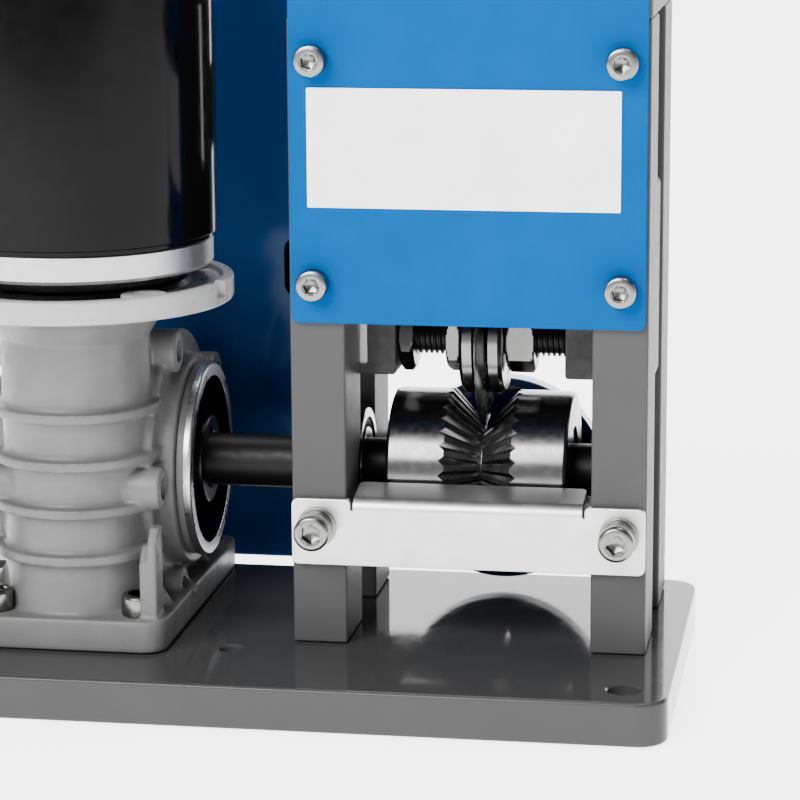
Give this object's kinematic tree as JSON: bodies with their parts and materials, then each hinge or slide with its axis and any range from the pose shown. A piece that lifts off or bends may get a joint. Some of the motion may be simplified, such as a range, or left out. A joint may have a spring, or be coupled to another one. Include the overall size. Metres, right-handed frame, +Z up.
{
  "type": "wire stripping machine",
  "caption": "Bench machine that strips cable between a toothed V-groove feed roller on a worm gear motor and a disc blade on a lifting carriage.",
  "frame": {"origin": "on the underside of the base plate, below the middle of the frame and the front faces of its posts", "axes": "+X along the roller to the operator's right, +Y away from the operator, +Z up out of the base plate"},
  "size_m": [0.2235, 0.1578, 0.2336],
  "materials": {
    "base_paint": "glossy grey paint",
    "post_paint": "satin mid grey paint",
    "blue_paint": "satin blue powder coat",
    "turret_blue": "blue coated, bright bevelled rim",
    "zinc": "bright zinc plate",
    "dark_steel": "dark machined steel",
    "black_oxide": "oiled black oxide",
    "polished_steel": "ground and polished steel",
    "cast_grey": "light grey painted casting",
    "bare_aluminium": "bare machined aluminium",
    "seal_rubber": "black rubber",
    "motor_black": "gloss black paint",
    "black_plastic": "matt black moulding"
  },
  "bodies": {
    "frame": {"base_plate": "base_paint", "front_post_left": "post_paint", "front_post_right": "post_paint", "rear_post_left": "post_paint", "rear_post_right": "post_paint", "top_plate": "post_paint", "top_bolt_1": "zinc", "top_bolt_2": "zinc", "top_bolt_3": "zinc", "top_bolt_4": "zinc", "front_cover": "blue_paint", "cover_screw_1": "zinc", "cover_screw_2": "zinc", "cover_screw_3": "zinc", "cover_screw_4": "zinc", "wire_rest_bracket": "zinc", "bracket_washer_left": "zinc", "bracket_washer_right": "zinc", "bracket_screw_left": "zinc", "bracket_screw_right": "zinc", "guide_plate": "zinc", "guide_screw_left": "zinc", "guide_screw_right": "zinc", "turret_bolt": "zinc", "bearing_outer_left": "polished_steel", "bearing_outer_right": "polished_steel", "gearbox_housing": "cast_grey", "gearbox_bolt_1": "zinc", "gearbox_bolt_2": "zinc", "gearbox_bolt_3": "zinc", "gearbox_bolt_4": "zinc", "output_ring": "bare_aluminium", "oil_seal": "seal_rubber", "input_flange": "bare_aluminium", "motor_end_bell": "bare_aluminium", "motor_body": "motor_black", "rear_housing": "blue_paint", "rear_lid": "blue_paint", "housing_bracket_low": "post_paint", "housing_bracket_high": "post_paint", "switch_frame": "black_plastic"},
    "drive": {"drive_shaft": "black_oxide", "feed_roller": "polished_steel", "drive_key": "polished_steel", "output_hub": "polished_steel", "bearing_inner_left": "polished_steel", "bearing_inner_right": "polished_steel"},
    "carriage": {"carriage_yoke": "dark_steel", "blade_rod": "black_oxide", "rod_lock_nut": "zinc", "blade_nut_left": "zinc", "blade_nut_right": "zinc"},
    "blade": {"blade_disc": "polished_steel", "blade_flange_left": "polished_steel", "blade_flange_right": "polished_steel"},
    "screw": {"lift_screw": "polished_steel", "screw_collar": "polished_steel", "hand_knob": "black_plastic"},
    "turret": {"guide_turret": "turret_blue"},
    "rocker": {"switch_rocker": "black_plastic"}
  },
  "joints": [
    {"name": "shaft_spin", "type": "hinge", "parent": "frame", "child": "drive", "pos_m": [0, 0.0355, 0.055], "axis": [1, 0, 0], "continuous": true},
    {"name": "carriage_lift", "type": "slide", "parent": "frame", "child": "carriage", "axis": [0, 0, 1], "range_m": [0, 0.018]},
    {"name": "screw_turn", "type": "hinge", "parent": "carriage", "child": "screw", "pos_m": [0, 0.0355, 0.2], "axis": [0, 0, 1], "range_deg": [0, 2160]},
    {"name": "blade_spin", "type": "hinge", "parent": "carriage", "child": "blade", "pos_m": [0.0004, 0.0355, 0.0924], "axis": [1, 0, 0], "continuous": true},
    {"name": "turret_turn", "type": "hinge", "parent": "frame", "child": "turret", "pos_m": [0.0015, 0.062, 0.0452], "axis": [0, 1, 0], "continuous": true},
    {"name": "switch_rock", "type": "hinge", "parent": "frame", "child": "rocker", "pos_m": [-0.0505, 0.099, 0.162], "axis": [0, 1, 0], "range_deg": [0, 18]}
  ],
  "couplings": [
    {"joint": "screw_turn", "follows": "carriage_lift", "rad_per_m": 2094.4}
  ]
}
